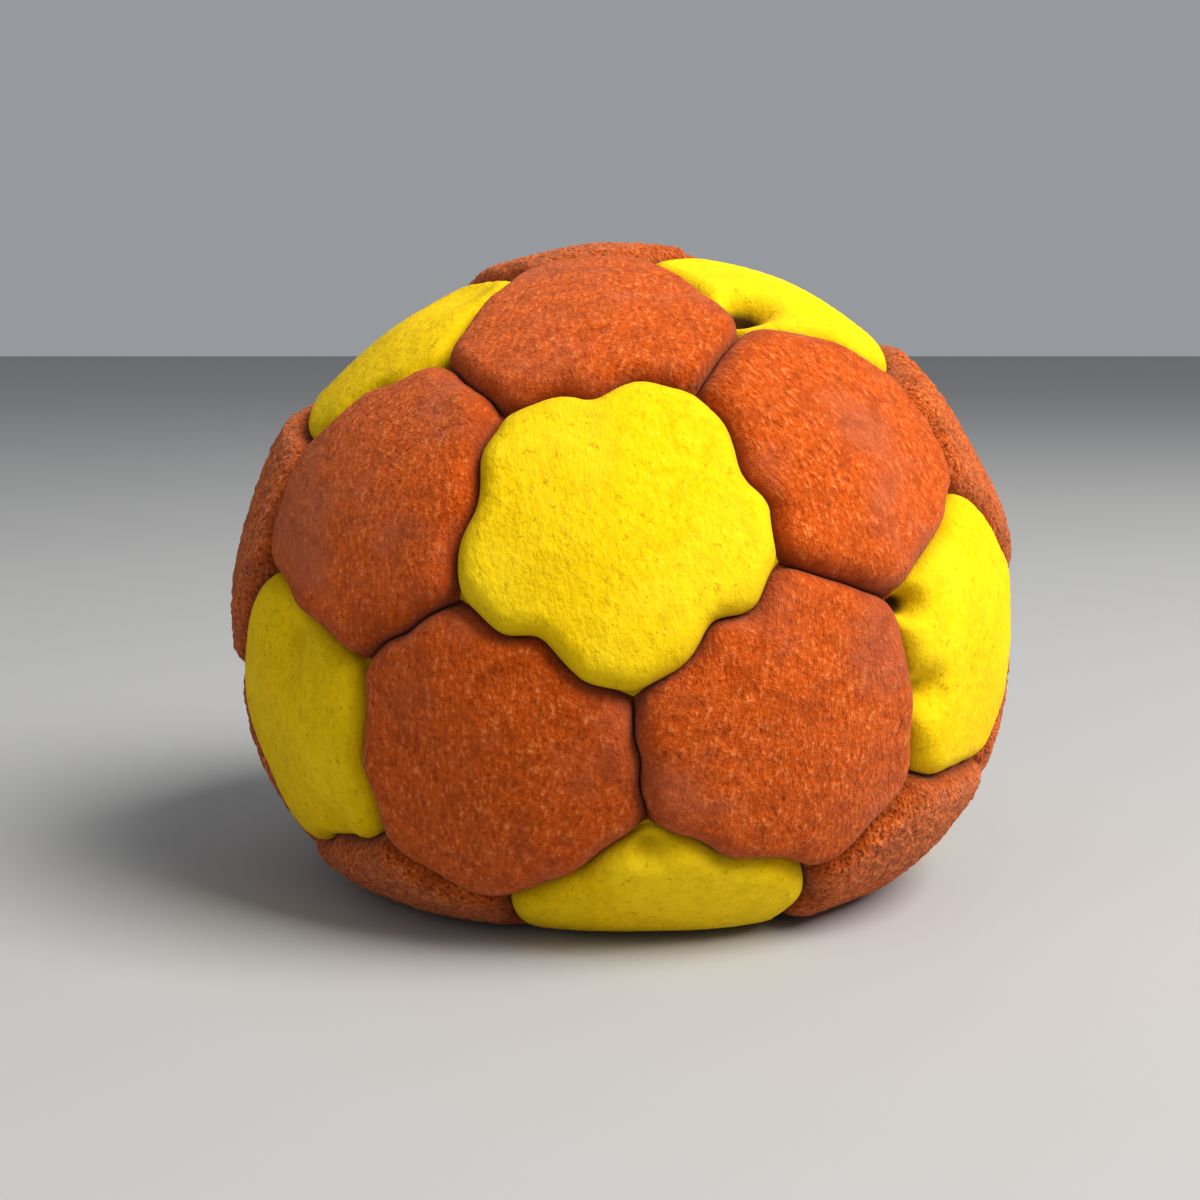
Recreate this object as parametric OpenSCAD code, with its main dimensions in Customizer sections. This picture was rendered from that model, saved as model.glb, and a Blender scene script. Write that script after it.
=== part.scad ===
// Juggling ball, a beanbag ball sewn from twelve pentagons and twenty hexagons of suede.
// Every panel turns in at its edges as a seam allowance, thread runs through each pair of
// allowances by a row of needle holes, and loose round pellets fill the inside.
// It lies at rest: a little lower than it is wide, slumped to one side, on one flat patch.
// Millimetres, +Z up, the origin in the middle of the patch that the ball lies on.

/* [Ball] */
// Width of the ball at rest, over the crowns of its panels
ball_w = 64; // [55:1:75]
// Height of the ball's rounded shape as a share of its width
sag = 0.925; // [0.85:0.005:1]
// How full the lower half is: 2 is an ellipse, more is squarer
fullness = 2.24; // [2:0.02:2.8]
// Degrees that the slumped shape leans to the left
lean = 4.5; // [0:0.5:10]
// Height of the ball's middle over the patch that it lies on
rest_h = 22; // [18:0.5:29]

// Degrees that the front pentagon faces up from level
front_up = 19; // [15:1:25]
// Degrees that the front pentagon is spun about its own middle
front_spin = 7; // [0:1:12]
// Degrees that the whole ball is turned about the upright
front_turn = -2; // [-8:1:8]

/* [Panels] */
// Thickness of the suede
suede_t = 0.8; // [0.5:0.1:1.2]
// Radius of each panel's crown, smaller makes puffier panels and deeper seams
crown_r = 18; // [15:0.5:26]
// Share of the way to the next pentagon at which a pentagon's corner lies
corner_share = 0.37; // [0.33:0.005:0.4]
// Width of the seam allowance that turns in along every edge
allowance = 3.2; // [2.5:0.1:5]

/* [Stitching] */
// Diameter of the thread
thread_d = 0.3; // [0.2:0.05:0.5]
// Distance of the row of needle holes from the raw edge
needle_in = 1.4; // [1:0.1:2]
// Diameter of a needle hole
needle_d = 0.5; // [0.4:0.05:0.8]
// Needle holes along each edge of a pentagon
pentagon_holes = 6; // [3:1:8]
// Needle holes along each seam between two hexagons
hexagon_holes = 4; // [2:1:6]
// Diameter of the knot that each thread starts from
knot_d = 0.9; // [0.6:0.1:1.2]

/* [Filling] */
// Diameter of a pellet
pellet_d = 5.5; // [4:0.5:7]
// Distance between the centres of pellets that lie side by side
pellet_pitch = 5.6; // [4.1:0.1:7.5]
// Height above the patch up to which the middles of pellets lie
fill_h = 46; // [20:1:50]

/* [Hidden] */
half_w = ball_w / 2;
half_h = half_w * sag;
middle = [0, 0, rest_h];

// Room left between a thread and the suede, between a thread and its knot, and at its ends
thread_lift = 0.1;
thread_gap = 0.03;
end_gap = 0.1;
// The thread lies this far off the seam's middle on each side of the two allowances
thread_off = suede_t + thread_d / 2 + thread_lift;
// Share of a seam that stays unsewn before its first needle hole and after its last
seam_start = 0.14;
// Directions less steep than this never reach the floor, and points this close to a seam are on it
nearly_level = 0.01;
seam_slack = 0.01;
// Every direction on a panel is at least this much along the panel's own middle direction
panel_spread = 0.85;
// Steepness at which the seams between hexagons count as upper or lower ones
belt_edge = 0.4;

// The twelve pentagon axes, as the corners of an icosahedron, the front one first
ring_polar = atan(2);
function polar_dir(polar, azimuth) = [
    sin(polar) * cos(azimuth),
    sin(polar) * sin(azimuth),
    cos(polar),
];
RAW_AXES = concat(
    [[0, 0, 1]],
    [for (i = [0:4]) polar_dir(ring_polar, 54 + 72 * i)],
    [for (i = [0:4]) polar_dir(180 - ring_polar, 90 + 72 * i)],
    [[0, 0, -1]]
);

// The five neighbours of each pentagon, counterclockwise from outside
NEIGHBOURS = concat(
    [[1, 2, 3, 4, 5]],
    [for (u = [0:4]) [0, 1 + (u + 4) % 5, 6 + (u + 4) % 5, 6 + u, 1 + (u + 1) % 5]],
    [for (u = [0:4]) [1 + (u + 1) % 5, 1 + u, 6 + (u + 4) % 5, 11, 6 + (u + 1) % 5]],
    [[10, 9, 8, 7, 6]]
);

// Three pentagons around each hexagon, counterclockwise, each hexagon once
TRIPLES = [
    for (i = [0:11])
        for (m = [0:4])
            let (j = NEIGHBOURS[i][m], k = NEIGHBOURS[i][(m + 1) % 5])
                if (i < j && i < k) [i, j, k]
];

function unit(v) = v / norm(v);
function sum(list, i = 0) = i == len(list) - 1 ? list[i] : list[i] + sum(list, i + 1);
function turn_z(v, a) = [v.x * cos(a) - v.y * sin(a), v.x * sin(a) + v.y * cos(a), v.z];
function turn_x(v, a) = [v.x, v.y * cos(a) - v.z * sin(a), v.y * sin(a) + v.z * cos(a)];
function turn_y(v, a) = [v.x * cos(a) + v.z * sin(a), v.y, v.z * cos(a) - v.x * sin(a)];
function at_rest(v) = turn_z(turn_x(turn_z(v, front_spin), 90 - front_up), front_turn);
AXES = [for (v = RAW_AXES) at_rest(v)];

// A pentagon's seam corner lies on the way from its own axis to a neighbour's
function corner(i, j) = unit(AXES[i] * (1 - corner_share) + AXES[j] * corner_share);

function pentagon_corners(i) = [for (j = NEIGHBOURS[i]) corner(i, j)];
function hexagon_corners(n) =
    let (t = TRIPLES[n])
        [for (m = [0:2]) each [corner(t[m], t[(m + 1) % 3]), corner(t[(m + 1) % 3], t[m])]];

// The rounded outer shape: how far it reaches along a direction, and which way it faces there
function power_of(z) = z < 0 ? fullness : 2;
function reach(v) =
    let (w = turn_y(v, lean), p = power_of(w.z), h = norm([w.x, w.y]))
        1 / pow(pow(h / half_w, p) + pow(abs(w.z) / half_h, p), 1 / p);
function facing(v) =
    let (
        w = turn_y(v, lean),
        p = power_of(w.z),
        h = norm([w.x, w.y]),
        side = pow(h / half_w, p - 1) / half_w / h,
        rise = pow(abs(w.z) / half_h, p - 1) / half_h * sign(w.z)
    )
        turn_y(unit([w.x * side, w.y * side, rise]), -lean);

// One panel: its corners, its middle direction and the middle of its crown's sphere
function panel(corners) =
    let (axis = unit(sum(corners)))
        [corners, axis, reach(axis) * axis - crown_r * facing(axis)];
PANELS = concat(
    [for (i = [0:11]) panel(pentagon_corners(i))],
    [for (n = [0:19]) panel(hexagon_corners(n))]
);

// The side planes of a panel all pass through the ball's middle and face into the panel
function side_normal(corners, k) = unit(cross(corners[k], corners[(k + 1) % len(corners)]));
function wall_shift(p) =
    suede_t * len(p[0]) / sum([for (k = [0:len(p[0]) - 1]) side_normal(p[0], k) * p[1]]);

// Where the raw edge of a panel's allowance lies along a direction
function raw_edge(v, p) =
    let (
        along = v * p[2],
        deep = crown_r - allowance,
        crown_edge = along + sqrt(along * along - p[2] * p[2] + deep * deep),
        floor_edge = v.z < -nearly_level ? (allowance - rest_h) / v.z : 2 * half_w
    )
        min(crown_edge, floor_edge);

// A seam's needle holes from corner a to corner b: each one's middle and the way through the suede
function seam_holes(a, b, p, count) = [
    for (s = [0:count - 1])
        let (v = unit(a + (b - a) * (seam_start + (1 - 2 * seam_start) * s / (count - 1))))
            [v * (raw_edge(v, p) + needle_in), unit(cross(a, b))]
];

// Whether a direction from the ball's middle meets a panel, and how far inside its side planes
function near_panel(v, p) = unit(v) * p[1] > panel_spread;
function inside_by(c, p) = min([for (k = [0:len(p[0]) - 1]) side_normal(p[0], k) * c]);
function on_panel(hole, p) = near_panel(hole[0], p) && inside_by(unit(hole[0]), p) > -seam_slack;

// Each seam's stitches follow the raw edge of one of its two panels
function pentagon_seam(i, k) =
    let (c = PANELS[i][0])
        seam_holes(c[k], c[(k + 1) % 5], PANELS[i], pentagon_holes);
HEXAGON_SEAMS = [
    for (i = [0:11]) for (j = NEIGHBOURS[i]) if (i < j) [i, j]
];
function has(list, item) = len([for (x = list) if (x == item) x]) > 0;
function hexagon_of(i, j) = 12 + [for (n = [0:19]) if (has(TRIPLES[n], i) && has(TRIPLES[n], j)) n][0];
function hexagon_seam(s) =
    let (i = HEXAGON_SEAMS[s][0], j = HEXAGON_SEAMS[s][1])
        seam_holes(corner(i, j), corner(j, i), PANELS[hexagon_of(i, j)], hexagon_holes);

ALL_HOLES = concat(
    [for (i = [0:11]) for (k = [0:4]) each pentagon_seam(i, k)],
    [for (s = [0:len(HEXAGON_SEAMS) - 1]) each hexagon_seam(s)]
);

// Places a child so that its Z runs along one direction
module along(direction) {
    rotate([0, acos(direction.z), atan2(direction.y, direction.x)])
        children();
}

// A pyramid from the ball's middle out through a panel's corners, with its base outside the ball
module panel_pyramid(p) {
    n = len(p[0]);
    tall = 1.4 * half_w;
    polyhedron(
        points = concat([[0, 0, 0]], [for (c = p[0]) c * tall / (c * p[1])]),
        faces = concat(
            [for (k = [1:n]) [0, k, k % n + 1]],
            [[for (k = [n:-1:1]) k]]
        )
    );
}

module crown_ball(p, r) {
    translate(p[2]) sphere(r = r, $fn = 96);
}

// Everything above a level, measured from the patch that the ball lies on
module above(level) {
    translate([-ball_w, -ball_w, level - rest_h])
        cube([2 * ball_w, 2 * ball_w, 2 * ball_w]);
}

// A hole through both allowances of a seam, with room to spare on each side
module needle_hole(hole) {
    translate(hole[0])
        along(hole[1])
            cylinder(h = 4 * suede_t, d = needle_d, center = true, $fn = 24);
}

// The turned-in suede of one panel, hollow behind its crown and inside its allowances
module suede_panel(index) {
    p = PANELS[index];
    translate(middle)
        difference() {
            intersection() {
                panel_pyramid(p);
                crown_ball(p, crown_r);
                above(0);
            }
            intersection() {
                translate(p[1] * wall_shift(p)) panel_pyramid(p);
                crown_ball(p, crown_r - suede_t);
                above(suede_t);
            }
            intersection() {
                crown_ball(p, crown_r - allowance);
                above(allowance);
            }
            for (hole = ALL_HOLES)
                if (on_panel(hole, p)) needle_hole(hole);
        }
}

// A straight piece of thread between two points, stopping short of each by its own room
module strand(from, to, from_room, to_room) {
    way = to - from;
    translate(from + unit(way) * from_room)
        along(unit(way))
            cylinder(h = norm(way) - from_room - to_room, d = thread_d, $fn = 24);
}

// One seam sewn through: thread along both faces of the two allowances and through each hole
module sewn_seam(holes) {
    pin_room = thread_off - thread_d / 2 - thread_gap;
    for (hole = holes)
        strand(hole[0] - hole[1] * pin_room, hole[0] + hole[1] * pin_room, 0, 0);
    for (m = [0:len(holes) - 2], side = [-1, 1])
        strand(
            holes[m][0] + side * thread_off * holes[m][1],
            holes[m + 1][0] + side * thread_off * holes[m + 1][1],
            end_gap,
            end_gap
        );
}

// The knot that a thread starts from lies against the allowance, past the first hole
module start_knot(holes) {
    at = holes[0][0] + (thread_off + thread_gap) * holes[0][1];
    back = unit(holes[0][0] - holes[1][0]);
    translate(at + (knot_d / 2 + thread_gap) * back + (knot_d - thread_d) / 2 * holes[0][1])
        sphere(d = knot_d, $fn = 24);
}

// One thread sews a pentagon in, round all five of its edges
module pentagon_thread(i) {
    color("goldenrod")
        translate(middle) {
            for (k = [0:4]) sewn_seam(pentagon_seam(i, k));
            start_knot(pentagon_seam(i, 0));
        }
}

// A short thread joins two hexagons
module hexagon_thread(s) {
    color("saddlebrown")
        translate(middle) {
            sewn_seam(hexagon_seam(s));
            start_knot(hexagon_seam(s));
        }
}

module pentagon_panel(i) {
    color([0.93, 0.78, 0.12]) suede_panel(i);
}

module hexagon_panel(n) {
    color([0.72, 0.32, 0.09]) suede_panel(12 + n);
}

// Pellets lie in close-packed layers, and each one keeps clear of suede, allowances and thread
pellet_r = pellet_d / 2;
gap = 0.1;
function home_panel(c) = [
    for (p = PANELS)
        if (near_panel(c, p))
            if (inside_by(c, p) >= 0) p
][0];
function clears(c, p) =
    let (
        off_crown = crown_r - norm(c - p[2]) - pellet_r,
        off_floor = c.z + rest_h - pellet_r,
        off_side = inside_by(c, p) - pellet_r,
        behind = off_crown > allowance + gap && off_floor > allowance + gap,
        beside = off_side > thread_off + knot_d + gap
    )
        off_crown > suede_t + gap && off_floor > suede_t + gap && (behind || beside);
function pellet_at(layer, row, place) = [
    pellet_pitch * (place + (row % 2 == 0 ? 0 : 0.5) + (layer % 2 == 0 ? 0 : 0.5)),
    pellet_pitch * (row * sqrt(3) / 2 + (layer % 2 == 0 ? 0 : sqrt(3) / 6)),
    pellet_pitch * layer * sqrt(2 / 3),
];
reach_n = ceil(1.2 * half_w / pellet_pitch);
PELLETS = [
    for (layer = [-reach_n:reach_n])
        for (row = [-reach_n:reach_n])
            for (place = [-reach_n:reach_n])
                let (c = pellet_at(layer, row, place))
                    if (norm(c) > 0.01 && norm(c) < half_w && c.z + rest_h < fill_h)
                        if (clears(c, home_panel(c))) c
];

module filling_pellets() {
    color("ivory")
        translate(middle)
            for (c = PELLETS)
                translate(c) sphere(d = pellet_d, $fn = 24);
}

// Names of the nodes
function two(n) = n < 10 ? str("0", n) : str(n);
PENTAGON_PANELS = [for (i = [1:12]) str("pentagon_panel_", two(i))];
HEXAGON_PANELS = [for (n = [1:20]) str("hexagon_panel_", two(n))];
PENTAGON_THREADS = [for (i = [1:12]) str("pentagon_thread_", two(i))];
HEXAGON_THREADS = ["hexagon_threads_upper", "hexagon_threads_middle", "hexagon_threads_lower"];

// Seams between hexagons by height, and the one furthest back, which was sewn shut last
function seam_middle(s) = unit(AXES[HEXAGON_SEAMS[s][0]] + AXES[HEXAGON_SEAMS[s][1]]);
function belt(s) = seam_middle(s).z > belt_edge ? 0 : seam_middle(s).z > -belt_edge ? 1 : 2;
SEAM_BACKS = [for (s = [0:len(HEXAGON_SEAMS) - 1]) seam_middle(s).y];
closing_seam = search(max(SEAM_BACKS), SEAM_BACKS)[0];

for (i = [0:11])
    pentagon_panel(i);
for (n = [0:19])
    hexagon_panel(n);
for (i = [0:11])
    pentagon_thread(i);
for (b = [0:2])
    for (s = [0:len(HEXAGON_SEAMS) - 1])
            if (belt(s) == b && s != closing_seam) hexagon_thread(s);
hexagon_thread(closing_seam);  // closing_thread
filling_pellets();
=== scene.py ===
import math
import random

import bpy
import numpy as np
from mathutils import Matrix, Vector, noise
from mathutils.geometry import convex_hull_2d


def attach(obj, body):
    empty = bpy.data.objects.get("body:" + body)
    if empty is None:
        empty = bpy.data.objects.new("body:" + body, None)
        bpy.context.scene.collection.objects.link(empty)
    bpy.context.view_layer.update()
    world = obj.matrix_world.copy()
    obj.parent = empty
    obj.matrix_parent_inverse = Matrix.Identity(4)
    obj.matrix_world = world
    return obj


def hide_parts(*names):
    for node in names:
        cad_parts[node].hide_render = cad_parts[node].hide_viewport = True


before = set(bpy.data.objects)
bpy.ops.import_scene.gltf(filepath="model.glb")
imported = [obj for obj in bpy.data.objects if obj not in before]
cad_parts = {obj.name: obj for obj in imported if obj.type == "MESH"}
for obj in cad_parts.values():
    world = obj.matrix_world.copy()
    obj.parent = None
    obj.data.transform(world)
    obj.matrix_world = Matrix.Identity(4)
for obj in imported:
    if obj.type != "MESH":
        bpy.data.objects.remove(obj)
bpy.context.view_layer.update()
bpy.ops.object.select_all(action="DESELECT")


# ---- The cutting pattern -------------------------------------------------------------------
# The ball is cut as twelve pentagons and twenty hexagons. Every seam lies in a plane through
# the ball's middle, so a corner is a direction, and the CAD panels say where each one is.

BALL_MIDDLE = np.array([0.0, 0.0, 0.022])
PENTAGONS = [f"pentagon_panel_{i:02d}" for i in range(1, 13)]
HEXAGONS = [f"hexagon_panel_{i:02d}" for i in range(1, 21)]
PANELS = PENTAGONS + HEXAGONS


def unit(v):
    return v / np.linalg.norm(v, axis=-1, keepdims=True)


# Straight up, but for a hair's breadth, so that no panel's own axis lies exactly along it
NEARLY_UP = [0.0, 0.001, 1.0]


def sideways_axes(axis):
    """Two directions across an axis, the first one level."""
    right = unit(np.cross(NEARLY_UP, axis))
    return right, np.cross(axis, right)


def flattest_point(loop):
    """The index of the outline point that sticks out least between its two neighbours."""
    back = loop - np.roll(loop, 1, 0)
    ahead = np.roll(loop, -1, 0) - loop
    return int(np.argmin(np.abs(back[:, 0] * ahead[:, 1] - back[:, 1] * ahead[:, 0])))


def corners_of(node, count):
    """The directions of a CAD panel's corners, counterclockwise from outside."""
    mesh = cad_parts[node].data
    points = np.empty(len(mesh.vertices) * 3)
    mesh.vertices.foreach_get("co", points)
    directions = unit(points.reshape(-1, 3) - BALL_MIDDLE)
    axis = unit(directions.mean(0))
    right, up = sideways_axes(axis)
    flat = directions / (directions @ axis)[:, None]
    spread = np.stack([flat @ right, flat @ up], 1)
    loop = spread[convex_hull_2d([Vector(p) for p in spread])]
    while len(loop) > count:
        loop = np.delete(loop, flattest_point(loop), 0)
    area = np.cross(loop, np.roll(loop, -1, 0)).sum()
    if area < 0:
        loop = loop[::-1]
    return unit(axis + loop[:, :1] * right + loop[:, 1:] * up)


# Panels that meet share a corner, so two whose directions have a cosine above this are one.
# Each corner has one number on the whole ball
SAME_CORNER = 0.998
corner_points = []
corners = {}
for node in PANELS:
    corners[node] = []
    for corner in corners_of(node, 5 if node in PENTAGONS else 6):
        near = [n for n, known in enumerate(corner_points) if known @ corner > SAME_CORNER]
        if not near:
            near = [len(corner_points)]
            corner_points.append(corner)
        corners[node].append(near[0])
corner_points = np.array(corner_points)


# ---- The suede panels ----------------------------------------------------------------------
# Each panel is one piece of brushed microfibre suede. Its edges are turned in along the seams,
# roll over tightly and meet the next panel's in a deep crease, and the filling crowns it.

BALL_R = 0.032
SAG = 0.925
FULLNESS = 2.24
LEAN = math.radians(4.5)
ROLL_R = 0.0019
WALL = 0.0016
ALLOWANCE = 0.0026
SUEDE_T = 0.0008
SEAM_ROOM = 0.00004
CORNER_ROUND = 0.0006
FLOOR_ROUND = 0.0022
SETTLE = 0.00015
CUTS = 53
BACK_RINGS = 8


def leant(v, angle):
    """A direction turned about the line of sight, so that the ball slumps to one side."""
    x = v[..., 0] * math.cos(angle) + v[..., 2] * math.sin(angle)
    z = v[..., 2] * math.cos(angle) - v[..., 0] * math.sin(angle)
    return np.stack([x, v[..., 1], z], -1)


def resting_shape(axis):
    """How far the ball reaches along an axis, and which way its surface faces there."""
    w = leant(axis, LEAN)
    power = FULLNESS if w[2] < 0 else 2.0
    across = math.hypot(w[0], w[1])
    half_h = BALL_R * SAG
    size = (across / BALL_R) ** power + (abs(w[2]) / half_h) ** power
    side = (across / BALL_R) ** (power - 1) / BALL_R / across
    rise = (abs(w[2]) / half_h) ** (power - 1) / half_h * math.copysign(1, w[2])
    facing = leant(unit(np.array([w[0] * side, w[1] * side, rise])), -LEAN)
    return size ** (-1 / power), facing


def cut_panel(sides):
    """A flat panel with a fine even grid, its edge turned down and back, and closed behind."""
    bpy.ops.mesh.primitive_circle_add(vertices=sides, radius=1, fill_type="TRIFAN")
    cut = bpy.context.object
    bpy.ops.object.mode_set(mode="EDIT")
    bpy.ops.mesh.select_all(action="SELECT")
    bpy.ops.mesh.subdivide(number_cuts=CUTS)
    bpy.ops.mesh.region_to_loop()
    for ring in range(BACK_RINGS):
        bpy.ops.mesh.extrude_region_move(TRANSFORM_OT_translate={"value": (0, 0, -1)})
    bpy.ops.mesh.merge(type="CENTER")
    bpy.ops.mesh.select_all(action="SELECT")
    bpy.ops.mesh.normals_make_consistent(inside=False)
    bpy.ops.object.mode_set(mode="OBJECT")
    return cut


# The turned edge in section: distance from the seam's plane and depth below the crown, first
# along the face from the stitching to the crown, then back round the allowance and inside
ROLL_TOP = WALL + ROLL_R * math.pi / 2


def edge_section(along):
    """Distance in from the seam for a length of suede measured from the stitching."""
    turn = np.clip((along - WALL) / ROLL_R, 0, math.pi / 2)
    return SEAM_ROOM + ROLL_R * (1 - np.cos(turn)) + np.maximum(along - ROLL_TOP, 0)


def roll_drop(inwards, roll):
    """Depth below the crown at a distance in from the seam."""
    left = np.clip(1 - inwards / roll, 0, 1)
    return roll * (1 - np.sqrt(1 - left ** 2))


# The rings behind the face by their number, ending in the middle of the panel's back
BACK_SECTION = {
    -1: (SEAM_ROOM, ROLL_R + WALL + ALLOWANCE),
    -2: (SUEDE_T, ROLL_R + WALL + ALLOWANCE),
    -3: (SUEDE_T, ROLL_R + WALL * 0.6),
    -4: (SUEDE_T + ROLL_R * 0.35, ROLL_R * 0.55 + SUEDE_T),
    -5: (SUEDE_T + ROLL_R, SUEDE_T * 1.2),
    -6: (0.0058, SUEDE_T),
    -7: (0.0078, SUEDE_T),
    -8: (1.0, SUEDE_T),
}


# How far the seams' waves swing, how far in from a seam they fade out, and the width of the
# dip in the middle of a seam as a share of its length
FRONT = "pentagon_panel_01"
WAVE = 0.00095
WAVE_REACH = 0.0040
DIP_WIDE = 0.11


def seam_wave(first, second, share):
    """How far stitching pulls a seam off its line: bumps near both ends and a dip between."""
    start, end = min(first, second), max(first, second)
    chance = random.Random(start * 61 + end)
    if first != start:
        share = 1 - share
    bump_a, bump_b = chance.uniform(0.6, 1.4), chance.uniform(0.6, 1.4)
    place_a, place_b = chance.uniform(0.18, 0.3), chance.uniform(0.7, 0.82)
    wide_a, wide_b = chance.uniform(0.12, 0.2), chance.uniform(0.12, 0.2)
    dip, middle = chance.uniform(0.1, 0.9), chance.uniform(0.42, 0.58)
    wave = bump_a * np.exp(-((share - place_a) / wide_a) ** 2)
    wave += bump_b * np.exp(-((share - place_b) / wide_b) ** 2)
    wave -= dip * np.exp(-((share - middle) / DIP_WIDE) ** 2)
    return wave * np.sin(np.pi * np.clip(share, 0, 1)) ** 0.5


def wave_strength(node, first, second):
    """Bumps swell out of a pentagon, most of all the front one, and other seams stray less."""
    chance = random.Random(first * second)
    for pentagon in PENTAGONS:
        if {first, second} <= set(corners[pentagon]):
            size = chance.uniform(0.55, 1.0) if pentagon == FRONT else chance.uniform(0.2, 0.75)
            return size if node == pentagon else -size
    size = chance.uniform(0.05, 0.25)
    return size if first < second else -size


# Places where the filling has run away from behind the suede and it falls in: the panel, the
# panel that the place lies towards, degrees turned from there, how far out to the seams, how
# wide and how deep, the last two in millimetres
HOLLOWS = [
    ("pentagon_panel_02", "pentagon_panel_01", -6, 0.80, 1.5, 3.4),
    ("pentagon_panel_02", "pentagon_panel_01", -6, 1.00, 2.0, 1.5),
    ("pentagon_panel_02", "pentagon_panel_03", 0, 0.65, 3.0, 0.9),
    ("pentagon_panel_03", "pentagon_panel_02", 0, 0.70, 3.0, 0.9),
    ("pentagon_panel_04", "pentagon_panel_01", 40, 0.75, 3.0, 1.4),
    ("pentagon_panel_04", "pentagon_panel_05", -20, 0.90, 1.8, 1.0),
    ("pentagon_panel_05", "pentagon_panel_01", 0, 1.12, 1.2, 1.6),
    ("pentagon_panel_06", "pentagon_panel_01", 0, 1.12, 1.0, 3.0),
    ("pentagon_panel_06", "pentagon_panel_01", 38, 0.92, 1.6, 1.8),
    ("pentagon_panel_07", "pentagon_panel_12", 0, 1.08, 1.3, 2.2),
    ("pentagon_panel_08", "pentagon_panel_09", 30, 0.80, 2.4, 1.2),
    ("pentagon_panel_10", "pentagon_panel_12", 20, 0.85, 2.0, 1.3),
    ("pentagon_panel_11", "pentagon_panel_07", 0, 1.08, 1.2, 2.2),
]
# A hollow is this much wider at the coarse rings inside the panel, so that they stay behind it
INSIDE_RING = -3
INSIDE_SPREAD = 2.2
# Slow rise and fall of a hand-filled panel, and the fine puckers that fade out from a seam
UNEVEN = 0.00045
UNEVEN_SIZE = 0.009
PUCKER = 0.00016
PUCKER_SIZE = 0.0026
PUCKER_REACH = 0.0022


def middle_of(node):
    """The direction of a panel's middle."""
    return unit(corner_points[corners[node]].mean(0))


def hollow_depth(node, way, out_to, spread):
    """How far the suede falls in at the hollows of one panel, wider at its coarse back."""
    axis = middle_of(node)
    depth = np.zeros(len(way))
    for panel, towards, degrees, share, wide, deep in HOLLOWS:
        if panel != node:
            continue
        turn = math.radians(degrees)
        across = unit(np.cross(axis, middle_of(towards)))
        aim = np.cross(across, axis) * math.cos(turn) + across * math.sin(turn)
        spot = unit(axis * BALL_R + aim * share * out_to)
        far = BALL_R * np.linalg.norm(way - spot, axis=1)
        depth += deep / 1000 * np.exp(-(far / (wide / 1000) / spread) ** 2)
    return depth


# Panels that face further back or further down than this are the less handled ones
ROUGH_BACK = -0.35
ROUGH_DOWN = -0.6


def is_rough(node):
    """Whether an orange panel is one of those at the sides, the back and underneath."""
    axis = middle_of(node)
    return node in HEXAGONS and (axis[1] > ROUGH_BACK or axis[2] < ROUGH_DOWN)


# Width of the darkening along a seam, painted shade with some parted nap, and the depths between
# which a pit's floor is painted dark as shade
CREASE_W = 0.0010
PIT_EDGE = 0.0009
PIT_FLOOR = 0.0026
# Size of a tuft of nap, and how high tufts stand on rough and on smooth panels
NAP_TUFT = 0.00050
ROUGH_TUFT_DEPTH = 0.00022
SMOOTH_TUFT_DEPTH = 0.00006
# Each panel's crown is drawn between two radii, stands a little proud or low, and the yellow
# ones apart from the front one are filled less
CROWN_TIGHT = 0.026
CROWN_SLACK = 0.034
PROUD_LEAST = -0.0002
PROUD_MOST = 0.0003
UNDERFILLED = 0.0004


def unevenness(points, size):
    """Soft random rise and fall over the ball, from minus one to one."""
    return np.array([noise.noise(Vector(p)) for p in points / size])


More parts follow.
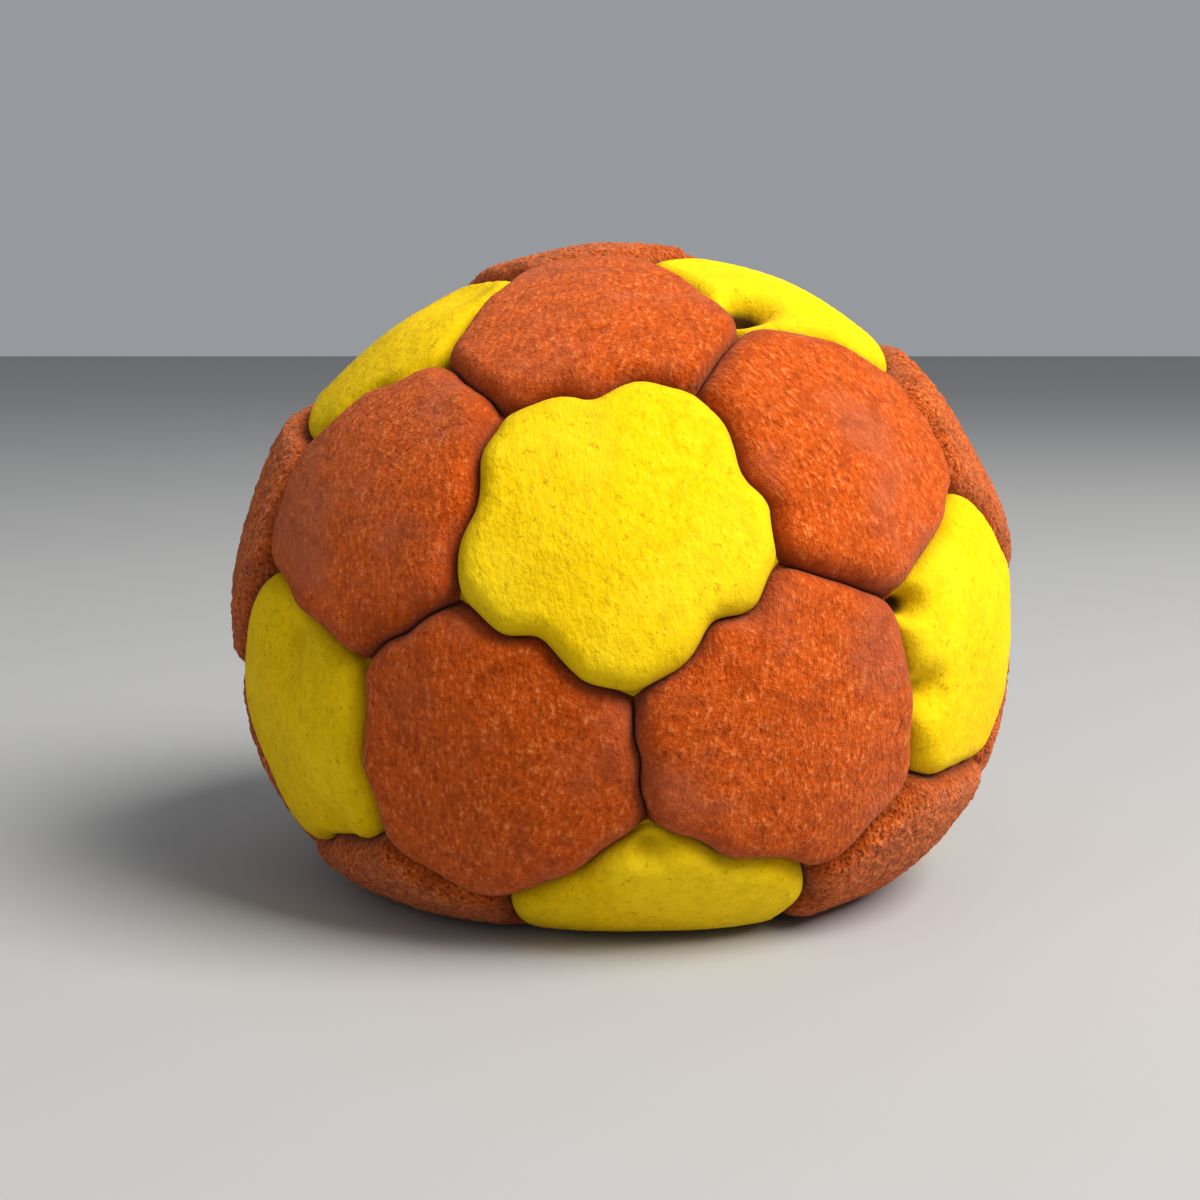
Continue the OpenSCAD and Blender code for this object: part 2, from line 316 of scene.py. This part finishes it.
def shape_panel(piece, node):
    """Moves a flat cut panel to its place on the ball, crowned, rolled in and sagged."""
    mesh = piece.data
    flat = np.empty(len(mesh.vertices) * 3)
    mesh.vertices.foreach_get("co", flat)
    flat = flat.reshape(-1, 3)
    ring = np.rint(flat[:, 2]).astype(int)
    numbers = corners[node]
    sides = len(numbers)
    loop = corner_points[numbers]
    axis = unit(loop.mean(0))
    reach, facing = resting_shape(axis)
    chance = random.Random(node + " crown")
    crown_r = chance.uniform(CROWN_TIGHT, CROWN_SLACK)
    proud = chance.uniform(PROUD_LEAST, PROUD_MOST)
    if node in PENTAGONS and node != FRONT:
        proud -= UNDERFILLED
    crown_middle = axis * (reach + proud) - facing * crown_r

    # Place in the fan of triangles: which side, how far out, how far along it
    angle = np.arctan2(flat[:, 1], flat[:, 0]) - math.pi / 2
    fan = np.floor(np.mod(angle, 2 * math.pi) / (2 * math.pi / sides) + 1e-6).astype(int) % sides
    turn = angle - (fan + 0.5) * 2 * math.pi / sides
    size = np.hypot(flat[:, 0], flat[:, 1])
    half = math.pi / sides
    out = np.clip(size * np.cos(turn) / math.cos(half), 0, 1)
    safe = np.maximum(size * np.cos(turn), 1e-9)
    share = np.clip(0.5 + 0.5 * size * np.sin(turn) / safe / math.tan(half), 0, 1)
    after = (fan + 1) % sides

    # Inward normals of the seams' planes and how far the middle is from each
    normals = unit(np.cross(loop, np.roll(loop, -1, 0)))
    middle_off = BALL_R * (normals @ axis)
    ends = (middle_off + np.roll(middle_off, 1)) / 2
    lean_in = np.abs(share - 0.5) * 2
    nearer_end = np.where(share < 0.5, ends[fan], ends[after])
    inradius = middle_off[fan] * (1 - lean_in) + nearer_end * lean_in

    # Suede length from the stitching inwards, then the place that it takes over the ball
    suede_length = inradius + ROLL_TOP - ROLL_R
    inwards = edge_section((1 - out) * suede_length)
    for number, (distance, _) in BACK_SECTION.items():
        inwards = np.where(ring == number, np.minimum(distance, inradius), inwards)
    spread = np.clip(1 - inwards / inradius, 0, 1)[:, None]
    edge = loop[fan] * (1 - share[:, None]) + loop[after] * share[:, None]
    way = unit(axis * (1 - spread) + edge * spread)

    # Distances to all seams, rounded together at the corners
    distances = BALL_R * (way @ normals.T)
    closeness = np.exp(-distances / CORNER_ROUND).sum(1)
    rounded = np.maximum(-CORNER_ROUND * np.log(closeness), 0)
    wall = np.clip(WALL - (1 - out) * suede_length, 0, WALL)
    depth = roll_drop(rounded, ROLL_R) + wall
    for number, (_, down) in BACK_SECTION.items():
        depth = np.where(ring == number, down, depth)

    # Hollows and the slow unevenness of hand filling, with fine puckers close to the stitching
    widened = np.where(ring < INSIDE_RING, INSIDE_SPREAD, 1.0)
    fallen = hollow_depth(node, way, middle_off.mean(), widened)
    depth += fallen
    near_seam = np.exp(-rounded / PUCKER_REACH)
    depth += UNEVEN * unevenness(way * BALL_R, UNEVEN_SIZE)
    depth += PUCKER * near_seam * unevenness(way * BALL_R + 1, PUCKER_SIZE)

    tufts = ROUGH_TUFT_DEPTH if is_rough(node) else SMOOTH_TUFT_DEPTH
    depth += tufts * unevenness(way * BALL_R, NAP_TUFT) * (ring == 0)

    # The seams' waves move both panels alike
    for k in range(sides):
        first, second = numbers[k], numbers[(k + 1) % sides]
        line = loop[(k + 1) % sides] - loop[k]
        along = ((way - loop[k]) @ line) / (line @ line)
        fade = np.exp(-(distances[:, k] / WAVE_REACH) ** 2)
        wave = seam_wave(first, second, along) * WAVE * fade
        push = wave_strength(node, first, second)
        way = way - normals[k] * (wave * push / BALL_R)[:, None]
    way = unit(way)

    # Out to the crown, lifted where the floor holds the ball up, and down into the creases
    toward = way @ crown_middle
    surface = toward + np.sqrt(toward ** 2 - crown_middle @ crown_middle + crown_r ** 2)
    place = way * (surface - depth)[:, None] + BALL_MIDDLE
    height = place[:, 2]
    place[:, 2] = (height + np.sqrt(height ** 2 + FLOOR_ROUND ** 2)) / 2 - SETTLE
    mesh.vertices.foreach_set("co", place.ravel())

    # The nap's own map is the flat cut panel in metres, turned the way this one lay on the cloth
    right, up = sideways_axes(axis)
    first_corner = math.atan2(loop[0] @ up, loop[0] @ right) - math.pi / 2
    grain = first_corner + math.radians(random.Random(node).uniform(-20, 20))
    cloth = flat[:, :2] * suede_length.mean() / math.cos(half)
    nap_u = cloth[:, 0] * math.cos(grain) - cloth[:, 1] * math.sin(grain)
    nap_v = cloth[:, 0] * math.sin(grain) + cloth[:, 1] * math.cos(grain)
    corners_uv = np.empty(len(mesh.loops), int)
    mesh.loops.foreach_get("vertex_index", corners_uv)
    layer = mesh.uv_layers.new(name="nap")
    layer.data.foreach_set("uv", np.stack([nap_u, nap_v], 1)[corners_uv].ravel())

    # How close each point is to a seam, up to one, or to a pit's floor, up to two. The colour is
    # darkened by it as painted shade, which along the seams also stands for nap parting in the
    # roll
    shade = mesh.attributes.new("crease", "FLOAT", "POINT")
    pit = np.clip((fallen - PIT_EDGE) / (PIT_FLOOR - PIT_EDGE), 0, 1)
    crease = np.maximum(np.exp(-rounded / CREASE_W), 2 * pit)
    shade.data.foreach_set("value", crease.astype(np.float32))
    mesh.update()


cuts = {5: cut_panel(5), 6: cut_panel(6)}
panels = {}
for node in PANELS:
    pattern = cuts[len(corners[node])]
    piece = bpy.data.objects.new("suede_" + node, pattern.data.copy())
    bpy.context.collection.objects.link(piece)
    shape_panel(piece, node)
    piece.data.shade_smooth()
    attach(piece, "root")
    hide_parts(node)
    panels[node] = piece
for pattern in cuts.values():
    bpy.data.objects.remove(pattern)


# ---- The suede's colour and nap --------------------------------------------------------------
# Microfibre with a short brushed nap: fine fibres that lie one way, darker where they part and
# paler where light catches their tips, over broad patches that hands have brushed about.


def socket(group, name, kind, default=None, output=False):
    made = group.interface.new_socket(
        name=name, in_out="OUTPUT" if output else "INPUT", socket_type="NodeSocket" + kind
    )
    if default is not None:
        made.default_value = default
    return made


def nap_group():
    """Fibre flecks, mottling and brushed patches from the suede's own map, as one group."""
    group = bpy.data.node_groups.new("Suede nap", "ShaderNodeTree")
    socket(group, "Base", "Color", (0.8, 0.6, 0.1, 1))
    socket(group, "Parted", "Color", (0.4, 0.3, 0.02, 1))
    socket(group, "Tips", "Color", (1, 0.9, 0.4, 1))
    socket(group, "Brushed", "Color", (0.5, 0.3, 0.2, 1))
    # Near-black colour painted on the pits' floors as shade
    socket(group, "Pit shade", "Color", (0.06, 0.025, 0.004, 1))
    socket(group, "Fibre strength", "Float", 0.5)
    socket(group, "Patch strength", "Float", 0.5)
    socket(group, "Speck strength", "Float", 0.5)
    socket(group, "Crease strength", "Float", 0.5)
    socket(group, "Dirt strength", "Float", 0.5)
    socket(group, "Loopiness", "Float", 0.0)
    socket(group, "Color", "Color", output=True)
    socket(group, "Height", "Float", output=True)
    nodes, links = group.nodes, group.links
    given = nodes.new("NodeGroupInput")
    made = nodes.new("NodeGroupOutput")
    chart = nodes.new("ShaderNodeUVMap")
    chart.uv_map = "nap"
    place = nodes.new("ShaderNodeTexCoord")

    def speckle(source, scale, detail, rough, stretch=None):
        texture = nodes.new("ShaderNodeTexNoise")
        texture.inputs["Scale"].default_value = scale
        texture.inputs["Detail"].default_value = detail
        texture.inputs["Roughness"].default_value = rough
        if stretch:
            mapping = nodes.new("ShaderNodeMapping")
            mapping.inputs["Scale"].default_value = stretch
            links.new(source, mapping.inputs["Vector"])
            source = mapping.outputs["Vector"]
        links.new(source, texture.inputs["Vector"])
        return texture.outputs["Fac"]

    def ramp(source, low, high):
        range_node = nodes.new("ShaderNodeMapRange")
        range_node.interpolation_type = "SMOOTHSTEP"
        range_node.inputs["From Min"].default_value = low
        range_node.inputs["From Max"].default_value = high
        links.new(source, range_node.inputs["Value"])
        return range_node.outputs["Result"]

    def mix(factor, first, second):
        blend = nodes.new("ShaderNodeMix")
        blend.data_type = "RGBA"
        links.new(factor, blend.inputs["Factor"])
        links.new(first, blend.inputs["A"])
        links.new(second, blend.inputs["B"])
        return blend.outputs["Result"]

    def times(first, second):
        product = nodes.new("ShaderNodeMath")
        product.operation = "MULTIPLY"
        links.new(first, product.inputs[0])
        links.new(second, product.inputs[1])
        return product.outputs["Value"]

    def plus(first, second, share):
        total = nodes.new("ShaderNodeMath")
        total.operation = "MULTIPLY_ADD"
        links.new(second, total.inputs[0])
        total.inputs[1].default_value = share
        links.new(first, total.inputs[2])
        return total.outputs["Value"]

    fibres = speckle(chart.outputs["UV"], 2300, 4, 0.7, (1.0, 0.45, 1.0))
    tufts = speckle(place.outputs["Object"], 2900, 3, 0.7)
    loops = speckle(place.outputs["Object"], 3300, 2, 0.5)
    dirt = speckle(place.outputs["Object"], 1500, 2, 0.6)
    mottle = speckle(place.outputs["Object"], 600, 3, 0.6)
    patches = speckle(place.outputs["Object"], 110, 3, 0.55)
    crease = nodes.new("ShaderNodeAttribute")
    crease.attribute_name = "crease"

    nap = nodes.new("ShaderNodeMix")
    links.new(given.outputs["Loopiness"], nap.inputs["Factor"])
    links.new(fibres, nap.inputs["A"])
    links.new(loops, nap.inputs["B"])
    grain = plus(nap.outputs["Result"], tufts, 0.8)
    dark = times(ramp(grain, 0.90, 0.60), given.outputs["Fibre strength"])
    pale = times(ramp(grain, 0.90, 1.20), given.outputs["Fibre strength"])
    colour = mix(dark, given.outputs["Base"], given.outputs["Parted"])
    colour = mix(pale, colour, given.outputs["Tips"])
    brushed = times(ramp(patches, 0.46, 0.66), given.outputs["Patch strength"])
    colour = mix(brushed, colour, given.outputs["Brushed"])
    soft = times(ramp(mottle, 0.54, 0.36), given.outputs["Speck strength"])
    colour = mix(soft, colour, given.outputs["Parted"])
    dirty = times(ramp(dirt, 0.37, 0.30), given.outputs["Dirt strength"])
    colour = mix(dirty, colour, given.outputs["Parted"])
    # Painted shade in the seams' creases, which also stands for parted nap, and in the pits
    deep = times(crease.outputs["Fac"], given.outputs["Crease strength"])
    colour = mix(deep, colour, given.outputs["Parted"])
    # Painted shade: the pits' floors turn near black
    colour = mix(ramp(crease.outputs["Fac"], 0.6, 1.7), colour, given.outputs["Pit shade"])
    links.new(colour, made.inputs["Color"])
    links.new(plus(grain, mottle, 0.8), made.inputs["Height"])
    return group


SUEDE_NAP = nap_group()


def suede(name, base, parted, tips, brushed, strengths, sheen, relief, loopiness=0):
    """One colour of suede: the nap's colours and relief, with a soft sheen from its fibres."""
    material = bpy.data.materials.new(name)
    material.use_nodes = True
    nodes, links = material.node_tree.nodes, material.node_tree.links
    shader = nodes["Principled BSDF"]
    shader.inputs["Roughness"].default_value = 0.92
    shader.inputs["Specular IOR Level"].default_value = 0.06
    shader.inputs["Sheen Weight"].default_value = sheen
    shader.inputs["Sheen Roughness"].default_value = 0.45
    shader.inputs["Sheen Tint"].default_value = (1.0, 0.62, 0.42, 1)
    nap = nodes.new("ShaderNodeGroup")
    nap.node_tree = SUEDE_NAP
    nap.inputs["Base"].default_value = base
    nap.inputs["Parted"].default_value = parted
    nap.inputs["Tips"].default_value = tips
    nap.inputs["Brushed"].default_value = brushed
    nap.inputs["Fibre strength"].default_value = strengths[0]
    nap.inputs["Patch strength"].default_value = strengths[1]
    nap.inputs["Speck strength"].default_value = strengths[2]
    nap.inputs["Crease strength"].default_value = strengths[3]
    nap.inputs["Dirt strength"].default_value = strengths[4]
    nap.inputs["Loopiness"].default_value = loopiness
    bump = nodes.new("ShaderNodeBump")
    bump.inputs["Strength"].default_value = 0.8
    bump.inputs["Distance"].default_value = relief
    links.new(nap.outputs["Color"], shader.inputs["Base Color"])
    links.new(nap.outputs["Height"], bump.inputs["Height"])
    links.new(bump.outputs["Normal"], shader.inputs["Normal"])
    return material


YELLOW_SUEDE = suede(
    "Yellow suede",
    base=(0.90, 0.58, 0.001, 1),
    parted=(0.42, 0.26, 0.001, 1),
    tips=(0.98, 0.76, 0.04, 1),
    brushed=(0.93, 0.66, 0.012, 1),
    strengths=(0.45, 0.6, 0.16, 0.6, 0.5),
    sheen=0.03,
    relief=0.00012,
)
ORANGE_SUEDE = suede(
    "Orange suede",
    base=(0.60, 0.084, 0.003, 1),
    parted=(0.22, 0.022, 0.000, 1),
    tips=(0.92, 0.27, 0.075, 1),
    brushed=(0.47, 0.105, 0.042, 1),
    strengths=(0.85, 0.65, 0.35, 0.6, 0.3),
    sheen=0.20,
    relief=0.00040,
)
# The side and lowest panels have had less handling, and their nap still stands up in loops
ROUGH_SUEDE = suede(
    "Rough orange suede",
    base=(0.66, 0.105, 0.006, 1),
    parted=(0.16, 0.015, 0.000, 1),
    tips=(0.95, 0.28, 0.07, 1),
    brushed=(0.46, 0.090, 0.018, 1),
    strengths=(1.0, 0.4, 0.4, 0.5, 0.3),
    sheen=0.32,
    relief=0.00060,
    loopiness=1,
)
for node, piece in panels.items():
    piece.data.materials.clear()
    finish = ROUGH_SUEDE if is_rough(node) else ORANGE_SUEDE
    piece.data.materials.append(YELLOW_SUEDE if node in PENTAGONS else finish)


# ---- The sewing thread -----------------------------------------------------------------------
# Waxed polyester thread runs along both faces of the turned-in edges and through their needle
# holes. It lies inside the ball, and its twist shows as fine slanting ridges.


def thread_material():
    material = bpy.data.materials.new("Sewing thread")
    material.use_nodes = True
    nodes, links = material.node_tree.nodes, material.node_tree.links
    shader = nodes["Principled BSDF"]
    shader.inputs["Roughness"].default_value = 0.6
    place = nodes.new("ShaderNodeTexCoord")
    twist = nodes.new("ShaderNodeTexWave")
    twist.bands_direction = "DIAGONAL"
    twist.inputs["Scale"].default_value = 2200
    twist.inputs["Distortion"].default_value = 1.5
    shade = nodes.new("ShaderNodeValToRGB")
    shade.color_ramp.elements[0].color = (0.16, 0.06, 0.015, 1)
    shade.color_ramp.elements[1].color = (0.42, 0.2, 0.06, 1)
    bump = nodes.new("ShaderNodeBump")
    bump.inputs["Distance"].default_value = 0.00005
    links.new(place.outputs["Object"], twist.inputs["Vector"])
    links.new(twist.outputs["Fac"], shade.inputs["Fac"])
    links.new(twist.outputs["Fac"], bump.inputs["Height"])
    links.new(shade.outputs["Color"], shader.inputs["Base Color"])
    links.new(bump.outputs["Normal"], shader.inputs["Normal"])
    return material


SEWING_THREAD = thread_material()
for name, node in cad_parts.items():
    if "thread" in name:
        node.data.materials.clear()
        node.data.materials.append(SEWING_THREAD)


# ---- The filling -----------------------------------------------------------------------------
# Loose moulded plastic pellets fill the ball and give it its weight. They are cloudy white with
# a slightly uneven skin, and none of them shows from outside.


def pellet_material():
    material = bpy.data.materials.new("Plastic pellets")
    material.use_nodes = True
    nodes, links = material.node_tree.nodes, material.node_tree.links
    shader = nodes["Principled BSDF"]
    shader.inputs["Roughness"].default_value = 0.45
    place = nodes.new("ShaderNodeTexCoord")
    cloud = nodes.new("ShaderNodeTexNoise")
    cloud.inputs["Scale"].default_value = 260
    shade = nodes.new("ShaderNodeValToRGB")
    shade.color_ramp.elements[0].color = (0.62, 0.58, 0.48, 1)
    shade.color_ramp.elements[1].color = (0.85, 0.83, 0.76, 1)
    links.new(place.outputs["Object"], cloud.inputs["Vector"])
    links.new(cloud.outputs["Fac"], shade.inputs["Fac"])
    links.new(shade.outputs["Color"], shader.inputs["Base Color"])
    return material


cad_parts["filling_pellets"].data.materials.clear()
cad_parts["filling_pellets"].data.materials.append(pellet_material())


# ---- Floor, light and camera -------------------------------------------------------------------
# A plain pale floor, a broad soft light from above right and a weaker one from the left.

bpy.ops.mesh.primitive_plane_add(size=6)
floor = bpy.context.object
floor.name = "floor"
floor_material = bpy.data.materials.new("Pale floor")
floor_material.use_nodes = True
floor_material.node_tree.nodes["Principled BSDF"].inputs["Base Color"].default_value = (
    0.40, 0.40, 0.40, 1
)
floor_material.node_tree.nodes["Principled BSDF"].inputs["Roughness"].default_value = 0.9
floor.data.materials.append(floor_material)

world = bpy.data.worlds.new("Studio")
world.use_nodes = True
world.node_tree.nodes["Background"].inputs["Color"].default_value = (0.9, 0.95, 1.0, 1)
world.node_tree.nodes["Background"].inputs["Strength"].default_value = 0.34
bpy.context.scene.world = world


def soft_light(name, place, size, power, colour):
    bpy.ops.object.light_add(type="AREA", location=place)
    light = bpy.context.object
    light.name = name
    light.data.size = size
    light.data.energy = power
    light.data.color = colour
    aim = Vector((0, 0, 0.025)) - Vector(place)
    light.rotation_euler = aim.to_track_quat("-Z", "Y").to_euler()


soft_light("key", (0.38, -0.22, 0.50), 0.40, 7.5, (1.0, 0.97, 0.93))
soft_light("fill", (-0.6, -0.5, 0.3), 0.6, 0.4, (0.92, 0.96, 1.0))

CAMERA_PITCH = math.radians(8)
CAMERA_DISTANCE = 0.1615
CAMERA_LEFT = 0.0019
CAMERA_UP = 0.0004
bpy.ops.object.camera_add(rotation=(math.pi / 2 - CAMERA_PITCH, 0, 0))
camera = bpy.context.object
camera.data.sensor_width = 36
camera.data.lens = 58
camera.data.clip_start = 0.005
forward = Vector((0, math.cos(CAMERA_PITCH), -math.sin(CAMERA_PITCH)))
upward = Vector((0, math.sin(CAMERA_PITCH), math.cos(CAMERA_PITCH)))
camera.location = Vector(BALL_MIDDLE) - forward * CAMERA_DISTANCE + upward * CAMERA_UP
camera.location.x -= CAMERA_LEFT
bpy.context.scene.camera = camera
bpy.context.scene.view_settings.view_transform = "Standard"
